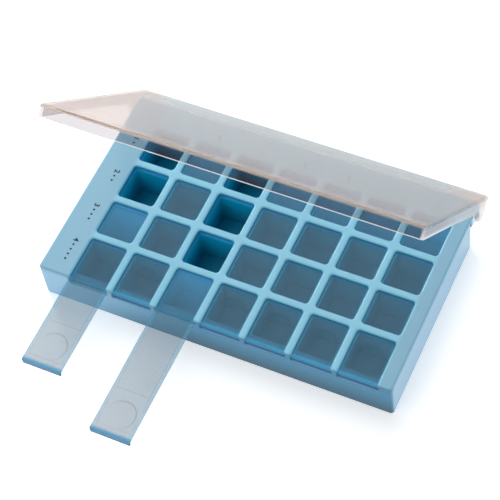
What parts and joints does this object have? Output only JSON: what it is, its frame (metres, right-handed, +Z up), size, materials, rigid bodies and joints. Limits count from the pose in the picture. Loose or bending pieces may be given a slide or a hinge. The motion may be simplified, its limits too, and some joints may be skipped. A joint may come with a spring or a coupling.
{
  "type": "pill organizer",
  "caption": "Flat pill organizer: a tray of square compartments under a window frame, a frosted sliding cover along each column, and a large clear lid hinged at the rear.",
  "frame": {"origin": "centre of the tray's flat underside", "axes": "+X along the row of columns towards the narrow margin, -Y towards the front where the covers slide out, +Z up"},
  "size_m": [0.21, 0.2072, 0.1147],
  "materials": {
    "tray_plastic": "translucent moulded",
    "frame_plastic": "satin moulded",
    "cover_plastic": "frosted clear",
    "lid_plastic": "frosted clear",
    "pin_plastic": "moulded"
  },
  "bodies": {
    "tray": {"base_tray": "tray_plastic", "top_frame": "frame_plastic", "hinge_pin_left": "pin_plastic", "hinge_pin_right": "pin_plastic"},
    "lid": {"lid": "lid_plastic"},
    "cover_1": {"cover_1": "cover_plastic"},
    "cover_2": {"cover_2": "cover_plastic"},
    "cover_3": {"cover_3": "cover_plastic"},
    "cover_4": {"cover_4": "cover_plastic"},
    "cover_5": {"cover_5": "cover_plastic"},
    "cover_6": {"cover_6": "cover_plastic"},
    "cover_7": {"cover_7": "cover_plastic"}
  },
  "joints": [
    {"name": "lid_hinge", "type": "hinge", "parent": "tray", "child": "lid", "pos_m": [0, 0.0626, 0.0205], "axis": [-1, 0, 0], "range_deg": [-46.5, 101.5]},
    {"name": "cover_1_slide", "type": "slide", "parent": "tray", "child": "cover_1", "axis": [0, -1, 0], "range_m": [-0.0537, 0.0493]},
    {"name": "cover_2_slide", "type": "slide", "parent": "tray", "child": "cover_2", "axis": [0, -1, 0], "range_m": [0, 0.103]},
    {"name": "cover_3_slide", "type": "slide", "parent": "tray", "child": "cover_3", "axis": [0, -1, 0], "range_m": [-0.0762, 0.0268]},
    {"name": "cover_4_slide", "type": "slide", "parent": "tray", "child": "cover_4", "axis": [0, -1, 0], "range_m": [0, 0.103]},
    {"name": "cover_5_slide", "type": "slide", "parent": "tray", "child": "cover_5", "axis": [0, -1, 0], "range_m": [0, 0.103]},
    {"name": "cover_6_slide", "type": "slide", "parent": "tray", "child": "cover_6", "axis": [0, -1, 0], "range_m": [0, 0.103]},
    {"name": "cover_7_slide", "type": "slide", "parent": "tray", "child": "cover_7", "axis": [0, -1, 0], "range_m": [0, 0.103]}
  ]
}
